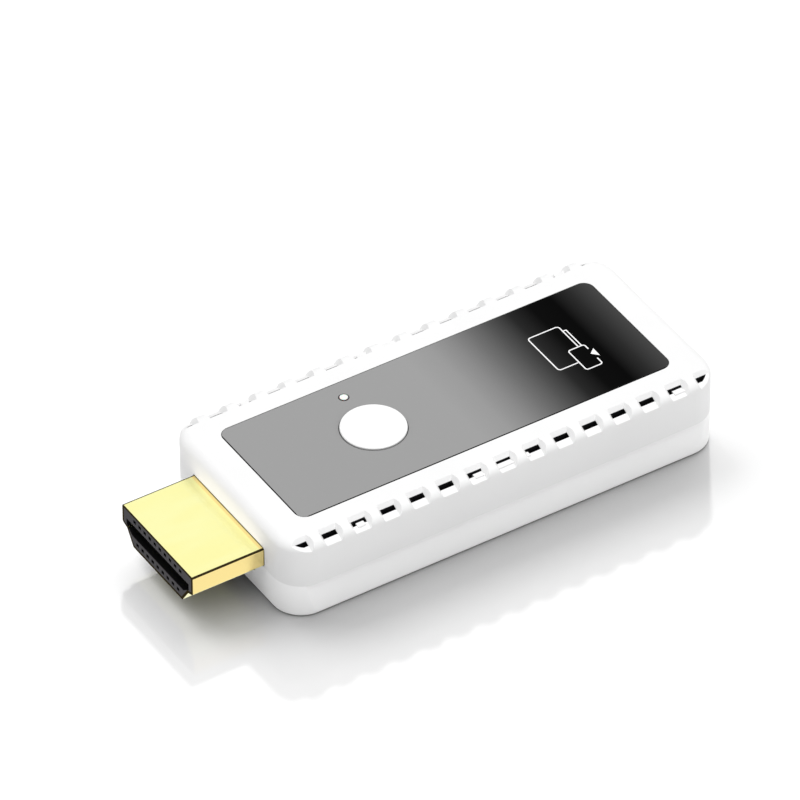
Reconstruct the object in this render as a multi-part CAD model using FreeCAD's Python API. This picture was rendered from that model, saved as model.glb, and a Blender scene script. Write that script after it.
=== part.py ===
import FreeCAD, Part
import math
import os

# Wireless HDMI receiver: a small stick casing with an HDMI plug on one end and a USB-C
# power socket on the other. Millimetres. +X runs along the body away from the plug,
# +Z is up, and the origin is under the middle of the whole stick, on its resting plane.
# Places along X are first measured from the casing's plug end and shifted when saved.

# Casing
body_length = 53.4
body_width = 24.14
body_height = 9.78
corner_radius = 3.4
shoulder_radius = 1.13
foot_radius = 0.35
wall = 1.2
floor_thickness = 1.2
roof_thickness = 0.9
parting_height = 4.12
skirt_thickness = 0.6
lip_height = 0.9
lip_clearance = 0.05
side_taper = 0.28

# Vents in the two long shoulders
vent_count = 15
vent_pitch = 3.55
vent_pocket_depth = 0.5
vent_pocket_draft = 0.3
vent_setback = 1.58
vent_slot_length = 1.7
vent_slot_width = 0.54
vent_slot_reach = 2.8
vent_skin = 0.45

# Latches that hold the two shells together, each under the vent that follows this many others
vents_before_latch_count = (2, 7, 13)
arm_width = 2.0
arm_thickness = 0.6
arm_gap = 0.1
arm_foot = 2.0
barb_reach = 0.35
barb_height = 0.8
window_clearance = 0.12
gusset_lengths = (0.9, 6.8, 1.5)
gusset_shifts = (0.1, -0.4, 0.4)
gusset_slit = 0.18
gusset_drop = 0.25
gusset_depth = 0.95

# Glossy plate on the top
plate_margin_end = 3.74
plate_margin_side = 3.88
plate_corner_radius = 1.2
plate_thickness = 0.8
plate_proud = 0.04
plate_edge_radius = 0.08
plate_clearance = 0.05
adhesive_thickness = 0.1
adhesive_inset = 0.6

# Button and indicator
button_x = 17.75
button_diameter = 7.14
button_proud = 0.36
button_edge_radius = 0.22
button_crown = 0.06
button_clearance = 0.08
button_flange_width = 0.75
button_flange_thickness = 0.6
button_stop_gap = 0.05
button_travel = 0.25
stem_diameter = 2.0
indicator_y = 5.8
pipe_diameter = 1.1
pipe_proud = 0.14
pipe_clearance = 0.05
pipe_shaft_diameter = 1.6
pipe_flange_diameter = 2.2
pipe_flange_thickness = 0.5
pipe_gap = 0.3

# Main board
board_thickness = 1.0
board_front = 3.9
board_end_gap = 0.3
board_side_gap = 0.3
board_corner_radius = 1.5
post_from_front = 6.6
post_from_rear = 5.9
post_from_side = 1.7
post_diameter = 2.2
post_gap = 0.05
pin_diameter = 1.0
pin_clearance = 0.1
pin_tip_gap = 0.2

# HDMI type A plug
plug_width = 13.9
plug_height = 4.45
plug_reach = 8.6
plug_mid_height = 4.42
plug_side_height = 2.35
plug_step_width = 0.9
plug_step_drop = 0.3
plug_bottom_width = 9.7
plug_corner_radius = 0.3
plug_wall = 0.3
plug_clearance = 0.1
plug_rear = 3.5
plug_arm_end = 7.5
plug_arm_height = 1.4
plug_leg_length = 1.0
plug_leg_depth = 1.7
leg_clearance = 0.12
slot_height = 1.6
slot_width = 12.3
slot_taper = 1.1
slot_depth = 7.4
contact_pitch = 1.0
upper_contact_count = 10
lower_contact_count = 9
contact_width = 0.3
contact_thickness = 0.2
contact_offset = 1.4
contact_tail = 1.3
contact_tip_depth = 0.9
contact_bump = 0.55
contact_bump_start = 2.2
contact_bump_length = 0.6
contact_bend = 0.6
groove_width = 0.5
groove_height = 0.42
groove_front = 0.9
groove_end = 1.5

# USB-C socket
usb_width = 8.94
usb_height = 3.26
usb_length = 7.35
usb_wall = 0.25
usb_recess = 0.3
usb_clearance = 0.15
usb_ear_width = 1.1
usb_ear_length = 1.2
usb_ear_thickness = 0.25
usb_ear_depth = 1.6
usb_ear_inset = 0.9
tongue_width = 6.7
tongue_thickness = 0.7
tongue_setback = 0.9
tongue_block_length = 1.4
usb_contact_count = 12
usb_contact_pitch = 0.5
usb_contact_width = 0.25
usb_contact_thickness = 0.12
usb_contact_proud = 0.02
usb_contact_end_gap = 0.4
usb_contact_step = 0.5
usb_tail = 0.85

# Key switch under the button
switch_size = 5.2
switch_base_height = 1.1
plunger_margin = 0.05
switch_well_diameter = 3.8
switch_well_depth = 0.7
switch_cover_thickness = 0.15
switch_skirt_depth = 0.8
switch_fit = 0.05
plunger_diameter = 2.2
plunger_flange_diameter = 3.0
dome_diameter = 3.5
dome_rise = 0.3
dome_thickness = 0.08
dome_gap = 0.03
terminal_width = 0.6
terminal_thickness = 0.15
terminal_spread = 1.9
terminal_reach = 1.0
terminal_root = 0.4

# Chips and small parts on the board
processor_size = 12.0
processor_height = 1.2
processor_gap = 6.25
pad_thickness = 0.5
spreader_length = 16.0
spreader_width = 14.0
spreader_thickness = 0.8
memory_length = 7.5
memory_width = 13.0
memory_height = 1.0
memory_gap = 2.0
flash_length = 6.0
flash_width = 8.0
flash_height = 0.8
flash_gap = 3.5
radio_length = 10.0
radio_width = 12.0
radio_thickness = 0.6
shield_length = 6.0
shield_height = 1.2
shield_wall = 0.2
shield_margin = 0.4
jack_size = 2.6
jack_height = 0.4
jack_from_edge = 1.6
jack_y = -4.4
plug_cap_diameter = 2.5
plug_cap_height = 1.0
sleeve_diameter = 1.1
sleeve_length = 2.4
sleeve_height = 0.8
lead_diameter = 0.8
lead_from_film_edge = 0.9
lead_drift = 0.5
lead_rise = 0.6
lead_bend_share = 0.45
film_length = 13.5
film_width = 6.5
film_thickness = 0.15
film_from_rear = 5.9
film_gap = 0.02
led_length = 1.6
led_width = 0.8
led_height = 0.6
inductor_size = 4.0
inductor_height = 1.2
inductor_spacing = 6.4
regulator_length = 1.6
regulator_width = 2.9
regulator_height = 1.1
crystal_length = 2.5
crystal_width = 3.2
crystal_height = 0.7
capacitor_length = 0.5
capacitor_width = 1.0
capacitor_height = 0.5
capacitor_pitch = 1.5
capacitor_count = 8
guard_chip_length = 1.0
guard_chip_width = 2.5
guard_chip_height = 0.5
guard_chip_pitch = 3.0
guard_chip_count = 4
part_gap = 0.6

# Ribs inside the shells
cradle_width = 0.8
cradle_half_span = 4.0
cradle_inset = 1.2
floor_rib_width = 0.8
floor_rib_height = 0.6
floor_rib_pitch = 3.0
floor_rib_count = 3
floor_rib_span = 14.0

# Levels and places that follow from the sizes above
half_width = body_width / 2
plate_top = body_height + plate_proud
recess_floor = plate_top - plate_thickness - adhesive_thickness
ceiling = recess_floor - roof_thickness
rib_root = ceiling + roof_thickness / 2
board_top = plug_mid_height + board_thickness / 2
board_bottom = plug_mid_height - board_thickness / 2
plug_top = plug_mid_height + plug_height / 2
plug_bottom = plug_mid_height - plug_height / 2
arm_outer = half_width - wall - arm_gap
arm_inner = arm_outer - arm_thickness
board_rear = body_length - wall - board_end_gap
board_half_width = arm_inner - board_side_gap
post_places = [
    (x, side * (board_half_width - post_from_side))
    for x in (board_front + post_from_front, board_rear - post_from_rear)
    for side in (-1, 1)
]
switch_height = switch_base_height + switch_cover_thickness + button_travel + plunger_margin
plunger_top = board_top + switch_height
usb_mouth = body_length - usb_recess
usb_back = usb_mouth - usb_length
processor_x = button_x + processor_gap
memory_x = processor_x - processor_size / 2 - memory_gap - memory_length / 2
flash_x = processor_x + processor_size / 2 + flash_gap + flash_length / 2
inductor_x = usb_back - usb_tail - part_gap - inductor_size / 2
regulator_x = inductor_x - inductor_size / 2 - part_gap - regulator_length / 2
radio_x = (button_x + switch_size / 2 + regulator_x - regulator_length / 2) / 2
radio_front = radio_x - radio_length / 2
radio_rear = radio_x + radio_length / 2
radio_top = board_top + radio_thickness
jack_x = radio_rear - jack_from_edge
overall_shift = -(body_length - plug_reach) / 2
tolerance = 0.0001


def box(x0, x1, y0, y1, z0, z1):
    """A plain block between two corners."""
    return Part.makeBox(x1 - x0, y1 - y0, z1 - z0, FreeCAD.Vector(x0, y0, z0))


def block(x, y, length, width, z0, z1):
    """A block centred on a place of the board."""
    return box(x - length / 2, x + length / 2, y - width / 2, y + width / 2, z0, z1)


def disc(x, y, diameter, z0, z1):
    """An upright cylinder."""
    return Part.makeCylinder(diameter / 2, z1 - z0, FreeCAD.Vector(x, y, z0))


def round_edges(shape, radius, chosen):
    """Fillets the edges whose box passes the test."""
    return shape.makeFillet(radius, [edge for edge in shape.Edges if chosen(edge.BoundBox)])


def upright(bounds):
    """True for an edge that stands along Z."""
    return bounds.ZLength > tolerance and bounds.XLength < tolerance and bounds.YLength < tolerance


def rounded_block(x0, x1, y0, y1, z0, z1, radius):
    """A block with its four upright edges rounded."""
    return round_edges(box(x0, x1, y0, y1, z0, z1), radius, upright)


def body_prism(inset, z0, z1):
    """The casing's outline, moved in by an inset and extruded between two levels."""
    return rounded_block(
        inset, body_length - inset, -half_width + inset, half_width - inset,
        z0, z1, corner_radius - inset)


def polygon_face(points):
    """A flat face through the points in order."""
    corners = [FreeCAD.Vector(*point) for point in points]
    return Part.Face(Part.makePolygon(corners + corners[:1]))


def joined(shapes):
    """One solid out of shapes that touch or overlap."""
    first, *others = shapes
    return first.fuse(others).removeSplitter()


def casing_blank():
    """The outside of both shells together, with the rounded shoulder and foot."""
    blank = body_prism(0, 0, body_height)
    blank = round_edges(blank, shoulder_radius, lambda b: b.ZMin > body_height - tolerance)
    return round_edges(blank, foot_radius, lambda b: b.ZMax < tolerance)


def plug_face(x, grow=0.0):
    """The plug's outline at one place along X: square shoulders above, stepped in below."""
    side = plug_width / 2
    step = side - plug_step_width
    low = plug_bottom_width / 2
    side_end = plug_top - plug_side_height
    right = [(side, plug_top), (side, side_end), (step, side_end - plug_step_drop), (low, plug_bottom)]
    outline = right + [(-y, z) for y, z in reversed(right)]
    face = polygon_face([(x, y, z) for y, z in outline])
    if grow:
        face = face.makeOffset2D(grow, 2)
    return face


def plug_prism(x0, x1, grow=0.0):
    """The plug's outline extruded along X, with its long corners rounded."""
    prism = plug_face(x0, grow).extrude(FreeCAD.Vector(x1 - x0, 0, 0))
    radius = max(plug_corner_radius + grow, plug_corner_radius / 2)
    return round_edges(prism, radius, lambda b: b.XLength > tolerance)


def usb_prism(x0, x1, grow=0.0):
    """The USB-C socket's stadium outline extruded along X."""
    radius = usb_height / 2 + grow
    straight = (usb_width - usb_height) / 2
    middle = FreeCAD.Vector(x0, 0, plug_mid_height)
    up = FreeCAD.Vector(0, 0, radius)
    right = FreeCAD.Vector(0, straight, 0)
    tip = FreeCAD.Vector(0, straight + radius, 0)
    outline = [
        Part.LineSegment(middle - right + up, middle + right + up).toShape(),
        Part.Arc(middle + right + up, middle + tip, middle + right - up).toShape(),
        Part.LineSegment(middle + right - up, middle - right - up).toShape(),
        Part.Arc(middle - right - up, middle - tip, middle - right + up).toShape(),
    ]
    return Part.Face(Part.Wire(outline)).extrude(FreeCAD.Vector(x1 - x0, 0, 0))


def vent_places():
    """The X of every vent, spaced evenly about the middle of the casing."""
    first = body_length / 2 - vent_pitch * (vent_count - 1) / 2
    return [first + vent_pitch * index for index in range(vent_count)]


def vent_pocket(x, side):
    """A trough that runs out over the shoulder, with a back and two ends that lean outwards."""
    back = half_width - vent_setback + vent_pocket_draft
    outside = half_width + wall
    lean = vent_pocket_draft / vent_pocket_depth
    slope = (shoulder_radius - vent_pocket_depth) / (half_width - back)
    floor = body_height - vent_pocket_depth
    rise = slope * (outside - back) + wall
    start = back - lean * rise
    half = vent_slot_length / 2
    start_floor = floor + slope * (back - start)
    trough = polygon_face([
        (x - half, side * start, start_floor),
        (x + half, side * start, start_floor),
        (x + half + lean * rise, side * start, start_floor + rise),
        (x - half - lean * rise, side * start, start_floor + rise),
    ]).extrude(FreeCAD.Vector(0, side * (outside - start), -slope * (outside - start)))
    reach = half + lean * rise
    profile = polygon_face([
        (x - reach, side * back, floor),
        (x - reach, side * outside, floor - slope * (outside - back)),
        (x - reach, side * outside, floor + rise),
        (x - reach, side * start, floor + rise),
    ]).extrude(FreeCAD.Vector(2 * reach, 0, 0))
    return trough.common(profile)


def vent_cutters():
    """The pocket and the through slot of every vent, on both long sides."""
    back = half_width - vent_setback + vent_pocket_draft
    above = body_height + wall
    slots = []
    pockets = []
    for x in vent_places():
        for side in (-1, 1):
            pockets.append(vent_pocket(x, side))
            slots.append(block(x, side * (back + vent_slot_width / 2), vent_slot_length,
                               vent_slot_width, body_height - vent_slot_reach, above))
    inside = body_prism(vent_skin, 0, 2 * above)
    return Part.makeCompound(pockets), inside.common(Part.makeCompound(slots))


def latch_places():
    """The X of the vents that have a latch below them."""
    places = vent_places()
    return [places[before] for before in vents_before_latch_count]


def latch_arm(x, side):
    """A springy arm of the top shell that reaches down and hooks under the bottom shell's wall."""
    arm = box(x - arm_width / 2, x + arm_width / 2, arm_inner, arm_outer, arm_foot, rib_root)
    barb_top = arm_foot + barb_height
    barb = polygon_face([
        (x - arm_width / 2, arm_outer, arm_foot),
        (x - arm_width / 2, arm_outer + barb_reach, barb_top - barb_reach),
        (x - arm_width / 2, arm_outer + barb_reach, barb_top),
        (x - arm_width / 2, arm_outer, barb_top),
    ]).extrude(FreeCAD.Vector(arm_width, 0, 0))
    latch = joined([arm, barb])
    return latch if side > 0 else latch.mirror(FreeCAD.Vector(0, 0, 0), FreeCAD.Vector(0, 1, 0))


def latch_gussets():
    """The blocks that stiffen the shoulder at each latch; the vents above show them.

    The outer two reach the latch arm. The long middle one leaves a slit of its vents open.
    """
    top = body_height - vent_pocket_depth - gusset_drop
    outer = half_width - vent_skin
    past_slit = half_width - vent_setback + vent_pocket_draft + gusset_slit
    starts = (arm_inner, past_slit, arm_inner)
    gussets = []
    for x, length, shift, start in zip(latch_places(), gusset_lengths, gusset_shifts, starts):
        for side in (-1, 1):
            gussets.append(block(x + shift, side * (start + outer) / 2, length, outer - start,
                                 ceiling - gusset_depth, top))
    return gussets


def latch_window(x, side):
    """The blind pocket in the bottom shell's wall that the barb hooks into."""
    half = arm_width / 2 + window_clearance
    depth = arm_outer + barb_reach + window_clearance
    pocket = box(x - half, x + half, arm_inner, depth,
                 arm_foot - window_clearance, arm_foot + barb_height + window_clearance)
    return pocket if side > 0 else pocket.mirror(FreeCAD.Vector(0, 0, 0), FreeCAD.Vector(0, 1, 0))


def end_apertures():
    """The openings for the plug and the power socket in the two end walls."""
    reach = wall + lip_clearance
    plug_hole = plug_prism(-wall, reach, plug_clearance)
    usb_hole = usb_prism(body_length - reach, body_length + wall, usb_clearance)
    return [plug_hole, usb_hole]


def side_tapers():
    """What the lower shell's long sides lose: they lean in from the foot to the parting line."""
    wedges = []
    for side in (-1, 1):
        wedge = polygon_face([
            (-wall, side * half_width, foot_radius),
            (-wall, side * (half_width - side_taper), parting_height),
            (-wall, side * body_width, parting_height),
            (-wall, side * body_width, foot_radius),
        ])
        wedges.append(wedge.extrude(FreeCAD.Vector(body_length + 2 * wall, 0, 0)))
    return wedges


def cradle_rib(x, z0, z1):
    """A short rib across the casing that a connector rests on."""
    return box(x - cradle_width / 2, x + cradle_width / 2, -cradle_half_span, cradle_half_span, z0, z1)


def cradle_places():
    """The X of the ribs at the plug and at the power socket."""
    return wall + cradle_inset, body_length - wall - cradle_inset


def bottom_shell():
    """The lower half of the casing, with its lip, posts, ribs and latch windows."""
    shell = casing_blank().common(box(-wall, body_length + wall, -body_width, body_width,
                                      -wall, parting_height))
    shell = shell.cut(body_prism(wall, floor_thickness, body_height))
    lip = body_prism(skirt_thickness + lip_clearance, parting_height - lip_clearance,
                     parting_height + lip_height)
    lip = lip.cut(body_prism(wall, 0, body_height))
    additions = [lip]
    for x, y in post_places:
        additions.append(disc(x, y, post_diameter, floor_thickness / 2, board_bottom))
        additions.append(disc(x, y, pin_diameter, board_bottom - wall, board_top - pin_tip_gap))
    plug_rib_x, usb_rib_x = cradle_places()
    additions.append(cradle_rib(plug_rib_x, floor_thickness / 2, plug_bottom))
    additions.append(cradle_rib(usb_rib_x, floor_thickness / 2, plug_mid_height - usb_height / 2))
    for index in range(floor_rib_count):
        rib_x = flash_x + flash_length / 2 + floor_rib_pitch * (index - 1)
        additions.append(block(rib_x, 0, floor_rib_width, floor_rib_span,
                               floor_thickness / 2, floor_thickness + floor_rib_height))
    shell = joined([shell] + additions)
    windows = [latch_window(x, side) for x in latch_places() for side in (-1, 1)]
    return shell.cut(windows + side_tapers() + end_apertures())


def top_shell():
    """The upper half of the casing: plate recess, vents, holes, hold-down posts and latch arms."""
    shell = casing_blank().common(box(-wall, body_length + wall, -body_width, body_width,
                                      parting_height, body_height + wall))
    shell = shell.cut(body_prism(wall, 0, ceiling))
    shell = shell.cut(body_prism(skirt_thickness, 0, parting_height + lip_height + lip_clearance))
    recess = plate_block(recess_floor, body_height + wall, plate_clearance)
    shell = shell.cut([recess, *vent_cutters(), *plate_holes(ceiling - wall, body_height)])
    additions = [latch_arm(x, side) for x in latch_places() for side in (-1, 1)]
    additions += latch_gussets()
    for x, y in post_places:
        additions.append(disc(x, y, post_diameter, board_top + post_gap, rib_root))
    plug_rib_x, usb_rib_x = cradle_places()
    additions.append(cradle_rib(plug_rib_x, plug_top, rib_root))
    additions.append(cradle_rib(usb_rib_x, plug_mid_height + usb_height / 2, rib_root))
    return joined([shell] + additions).cut(end_apertures())


def plate_block(z0, z1, grow=0.0):
    """The face plate's outline between two levels, grown by a clearance."""
    return rounded_block(
        plate_margin_end - grow, body_length - plate_margin_end + grow,
        -half_width + plate_margin_side - grow, half_width - plate_margin_side + grow,
        z0, z1, plate_corner_radius + grow)


def plate_holes(z0, z1, grow=0.0):
    """The round holes for the button and the light pipe."""
    return [
        disc(button_x, 0, button_diameter + 2 * button_clearance + 2 * grow, z0, z1),
        disc(button_x, indicator_y, pipe_diameter + 2 * pipe_clearance + 2 * grow, z0, z1),
    ]


def face_plate():
    """The glossy plate, with a softened top edge."""
    plate = plate_block(plate_top - plate_thickness, plate_top)
    plate = round_edges(plate, plate_edge_radius, lambda b: b.ZMin > plate_top - tolerance)
    return plate.cut(plate_holes(recess_floor, plate_top + wall))


def plate_adhesive():
    """The film of adhesive that holds the plate in its recess."""
    film_top = plate_top - plate_thickness
    film = plate_block(recess_floor, film_top, -adhesive_inset)
    return film.cut(plate_holes(recess_floor - wall, film_top + wall, plate_clearance))


def button_cap():
    """The button: a round cap with a retaining flange and a stem that bears on the switch."""
    radius = button_diameter / 2
    top = plate_top + button_proud
    flange_top = ceiling - button_stop_gap
    flange_bottom = flange_top - button_flange_thickness
    flange = disc(button_x, 0, button_diameter + 2 * button_flange_width, flange_bottom, flange_top)
    stem = disc(button_x, 0, stem_diameter, plunger_top, flange_bottom)
    barrel = disc(button_x, 0, button_diameter, flange_top, top)
    crown_radius = (radius ** 2 + button_crown ** 2) / (2 * button_crown)
    crown = Part.makeSphere(crown_radius, FreeCAD.Vector(button_x, 0, top - crown_radius))
    barrel = barrel.common(crown)
    rim = top - button_crown
    barrel = round_edges(barrel, button_edge_radius, lambda b: b.ZMin > rim - tolerance)
    return joined([barrel, flange, stem])


def light_pipe():
    """The clear pipe that carries the indicator's light up to a domed tip in the plate."""
    pipe_bottom = board_top + led_height + pipe_gap
    flange_bottom = ceiling - pipe_flange_thickness
    tip = pipe_diameter / 2
    tip_top = plate_top + pipe_proud
    dome_radius = (tip ** 2 + pipe_proud ** 2) / (2 * pipe_proud)
    shaft = disc(button_x, indicator_y, pipe_shaft_diameter, pipe_bottom, flange_bottom)
    flange = disc(button_x, indicator_y, pipe_flange_diameter, flange_bottom, ceiling)
    head = disc(button_x, indicator_y, pipe_diameter, ceiling, tip_top)
    dome = Part.makeSphere(dome_radius, FreeCAD.Vector(button_x, indicator_y, tip_top - dome_radius))
    return joined([shaft, flange, head.common(dome)])


def plug_leg_boxes(grow=0.0):
    """The two solder legs of the plug's shell, grown for the holes in the board."""
    outer = plug_width / 2
    legs = []
    for side in (-1, 1):
        centre = side * (outer - plug_wall / 2)
        legs.append(block(plug_arm_end - plug_leg_length / 2, centre,
                          plug_leg_length + 2 * grow, plug_wall + 2 * grow,
                          board_top - plug_leg_depth, board_top))
    return legs


def usb_leg_boxes(grow=0.0):
    """The four solder legs of the socket's shell, grown for the holes in the board."""
    legs = []
    for x in usb_ear_places():
        for side in (-1, 1):
            centre = side * (usb_width / 2 + usb_ear_width - usb_ear_thickness / 2)
            legs.append(block(x, centre, usb_ear_length + 2 * grow, usb_ear_thickness + 2 * grow,
                              board_top - usb_ear_depth, board_top))
    return legs


def usb_ear_places():
    """The X of the socket's ears, both over the board."""
    half = usb_ear_length / 2
    return usb_back + usb_ear_inset + half, board_rear - usb_ear_inset - half


def main_board():
    """The circuit board, with its locating holes, leg holes and the socket's cut-out."""
    board = rounded_block(board_front, board_rear, -board_half_width, board_half_width,
                          board_bottom, board_top, board_corner_radius)
    holes = [disc(x, y, pin_diameter + 2 * pin_clearance, 0, body_height) for x, y in post_places]
    half = usb_width / 2 + usb_clearance
    holes.append(box(usb_back - usb_clearance, body_length, -half, half, 0, body_height))
    return board.cut(holes + plug_leg_boxes(leg_clearance) + usb_leg_boxes(leg_clearance))


def hdmi_shell():
    """The plug's plated tube, with an arm and a solder leg on each side."""
    inside = plug_prism(-plug_reach - wall, plug_rear + wall, -plug_wall)
    parts = [plug_prism(-plug_reach, plug_rear).cut(inside)]
    for side in (-1, 1):
        centre = side * (plug_width / 2 - plug_wall / 2)
        arm = block((plug_rear + plug_arm_end) / 2, centre, plug_arm_end - plug_rear, plug_wall,
                    board_top, board_top + plug_arm_height)
        parts.append(arm)
    return joined(parts + plug_leg_boxes())


def contact_strip(y, side):
    """One HDMI contact: a solder tail on the board, a run in the plastic and a sprung beam."""
    outer = contact_offset
    bump = slot_height / 2 - contact_bump / 2
    tail = board_thickness / 2
    front = -plug_reach
    half = contact_thickness / 2
    line = [
        (front + contact_tip_depth, outer - half),
        (front + contact_bump_start, bump + half),
        (front + contact_bump_start + contact_bump_length, bump + half),
        (-groove_end, outer),
        (plug_rear - contact_bend, outer),
        (plug_rear - half, tail + half),
        (board_front + contact_tail, tail + half),
    ]
    upper = [(x, z + half) for x, z in line]
    lower = [(x, z - half) for x, z in reversed(line)]
    points = [(x, y - contact_width / 2, plug_mid_height + side * z) for x, z in upper + lower]
    return polygon_face(points).extrude(FreeCAD.Vector(0, contact_width, 0))


def contact_row(count):
    """The Y of each contact in a row, spaced about the middle."""
    return [contact_pitch * (index - (count - 1) / 2) for index in range(count)]


def hdmi_contacts(count, side):
    """A row of contacts, above the slot for side +1 and below it for side -1."""
    return [contact_strip(y, side) for y in contact_row(count)]


def contact_groove(y, side):
    """The groove that a contact springs in: a small window in front, open to the slot behind."""
    front = -plug_reach
    outer_top = contact_offset + groove_height / 2
    outer_low = contact_offset - groove_height / 2
    z_levels = sorted((plug_mid_height + side * outer_low, plug_mid_height + side * outer_top))
    window = box(front - wall, front + groove_front, y - groove_width / 2, y + groove_width / 2, *z_levels)
    z_levels = sorted((plug_mid_height, plug_mid_height + side * outer_top))
    trough = box(front + groove_front, -groove_end, y - groove_width / 2, y + groove_width / 2, *z_levels)
    return [window, trough]


def hdmi_insulator():
    """The plug's plastic core, with the slot, the contact grooves and the moulded-in contacts."""
    core = plug_prism(-plug_reach, plug_rear, -plug_wall)
    half = slot_width / 2
    low = half - slot_taper
    top = plug_mid_height + slot_height / 2
    bottom = plug_mid_height - slot_height / 2
    slot = polygon_face([
        (-plug_reach - wall, half, top),
        (-plug_reach - wall, half, plug_mid_height),
        (-plug_reach - wall, low, bottom),
        (-plug_reach - wall, -low, bottom),
        (-plug_reach - wall, -half, plug_mid_height),
        (-plug_reach - wall, -half, top),
    ]).extrude(FreeCAD.Vector(wall + slot_depth, 0, 0))
    cutters = [slot]
    for count, side in ((upper_contact_count, 1), (lower_contact_count, -1)):
        for y in contact_row(count):
            cutters += contact_groove(y, side)
        cutters += hdmi_contacts(count, side)
    return core.cut(cutters)


def usb_shell():
    """The power socket's steel tube, with four ears that lie on the board and go through it."""
    parts = [usb_prism(usb_back, usb_mouth)]
    for x in usb_ear_places():
        for side in (-1, 1):
            inner = side * (usb_width / 2 - usb_wall / 2)
            outer = side * (usb_width / 2 + usb_ear_width)
            y0, y1 = sorted((inner, outer))
            parts.append(box(x - usb_ear_length / 2, x + usb_ear_length / 2, y0, y1,
                             board_top, board_top + usb_ear_thickness))
    inside = usb_prism(usb_back - wall, usb_mouth + wall, -usb_wall)
    return joined(parts + usb_leg_boxes()).cut(inside)


def usb_contacts():
    """The socket's contacts: strips along both faces of the tongue, with tails on the board."""
    back = usb_back - usb_tail
    front = usb_mouth - tongue_setback - usb_contact_end_gap
    high = tongue_thickness / 2 + usb_contact_proud
    low = high - usb_contact_thickness
    tail = board_thickness / 2
    step = usb_back + usb_contact_step
    inner_step = step - usb_contact_thickness
    profile = [
        (back, tail + usb_contact_thickness), (step, tail + usb_contact_thickness),
        (step, high), (front, high),
        (front, low), (inner_step, low), (inner_step, tail), (back, tail),
    ]
    strips = []
    for side in (-1, 1):
        for index in range(usb_contact_count):
            y = usb_contact_pitch * (index - (usb_contact_count - 1) / 2) - usb_contact_width / 2
            face = polygon_face([(x, y, plug_mid_height + side * z) for x, z in profile])
            strips.append(face.extrude(FreeCAD.Vector(0, usb_contact_width, 0)))
    return strips


def usb_tongue():
    """The socket's plastic back block and the tongue that stands in its mouth."""
    back_block = usb_prism(usb_back, usb_back + tongue_block_length, -usb_wall)
    tongue = box(usb_back, usb_mouth - tongue_setback, -tongue_width / 2, tongue_width / 2,
                 plug_mid_height - tongue_thickness / 2, plug_mid_height + tongue_thickness / 2)
    return joined([back_block, tongue]).cut(usb_contacts())


def switch_terminals():
    """Four feet that come out of the switch base and lie on the board."""
    edge = switch_size / 2
    foot = board_top + terminal_thickness
    high = foot + terminal_root
    points = [
        (edge - terminal_root, high), (edge + terminal_root, high), (edge + terminal_root, foot),
        (edge + terminal_reach, foot), (edge + terminal_reach, board_top),
        (edge + terminal_root - terminal_thickness, board_top),
        (edge + terminal_root - terminal_thickness, high - terminal_thickness),
        (edge - terminal_root, high - terminal_thickness),
    ]
    feet = []
    for x in (button_x - terminal_spread, button_x + terminal_spread):
        for side in (-1, 1):
            face = polygon_face([(x - terminal_width / 2, side * y, z) for y, z in points])
            feet.append(face.extrude(FreeCAD.Vector(terminal_width, 0, 0)))
    return feet


def switch_base():
    """The switch's plastic base, with the round well that the dome lies in."""
    top = board_top + switch_base_height
    base = block(button_x, 0, switch_size, switch_size, board_top, top)
    well = disc(button_x, 0, switch_well_diameter, top - switch_well_depth, top + wall)
    return base.cut([well] + switch_terminals())


def switch_cover():
    """The switch's steel cover, folded down on two sides of the base."""
    base_top = board_top + switch_base_height
    cover_top = base_top + switch_cover_thickness
    half = switch_size / 2 + switch_cover_thickness
    cover = box(button_x - half, button_x + half, -switch_size / 2, switch_size / 2,
                base_top - switch_skirt_depth, cover_top)
    base_space = block(button_x, 0, switch_size, switch_size + wall, board_top, base_top)
    hole = disc(button_x, 0, plunger_diameter + 2 * switch_fit, board_top, cover_top + wall)
    return cover.cut([base_space, hole])


def well_floor():
    """The level that the dome's rim rests on."""
    return board_top + switch_base_height - switch_well_depth


def switch_dome():
    """The thin snap dome that gives the click and pushes the plunger back up."""
    radius = dome_diameter / 2
    curve = (radius ** 2 + dome_rise ** 2) / (2 * dome_rise)
    centre = well_floor() + dome_rise - curve
    outer = Part.makeSphere(curve + dome_thickness, FreeCAD.Vector(button_x, 0, centre))
    inner = Part.makeSphere(curve, FreeCAD.Vector(button_x, 0, centre))
    keep = disc(button_x, 0, dome_diameter, well_floor(), board_top + switch_height)
    return outer.common(keep).cut(inner)


def switch_plunger():
    """The plunger between the dome and the button's stem."""
    flange_bottom = well_floor() + dome_rise + dome_thickness + dome_gap
    flange_top = board_top + switch_base_height - switch_fit
    flange = disc(button_x, 0, plunger_flange_diameter, flange_bottom, flange_top)
    shaft = disc(button_x, 0, plunger_diameter, flange_bottom, plunger_top)
    return joined([flange, shaft])


def processor_chip():
    """The video processor's package, under the board."""
    return block(processor_x, 0, processor_size, processor_size,
                 board_bottom - processor_height, board_bottom)


def thermal_pad():
    """The soft pad between the processor and the heat spreader."""
    top = board_bottom - processor_height
    return block(processor_x, 0, processor_size, processor_size, top - pad_thickness, top)


def heat_spreader():
    """The aluminium plate that takes the processor's heat, with rounded corners."""
    top = board_bottom - processor_height - pad_thickness
    half_length = spreader_length / 2
    half_span = spreader_width / 2
    return rounded_block(processor_x - half_length, processor_x + half_length, -half_span, half_span,
                         top - spreader_thickness, top, plate_corner_radius)


def memory_chip():
    """The working memory's package, under the board."""
    return block(memory_x, 0, memory_length, memory_width, board_bottom - memory_height, board_bottom)


def flash_chip():
    """The program memory's package, under the board."""
    return block(flash_x, 0, flash_length, flash_width, board_bottom - flash_height, board_bottom)


def radio_board():
    """The radio module's own small board, soldered on the main board."""
    return block(radio_x, 0, radio_length, radio_width, board_top, radio_top)


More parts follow.
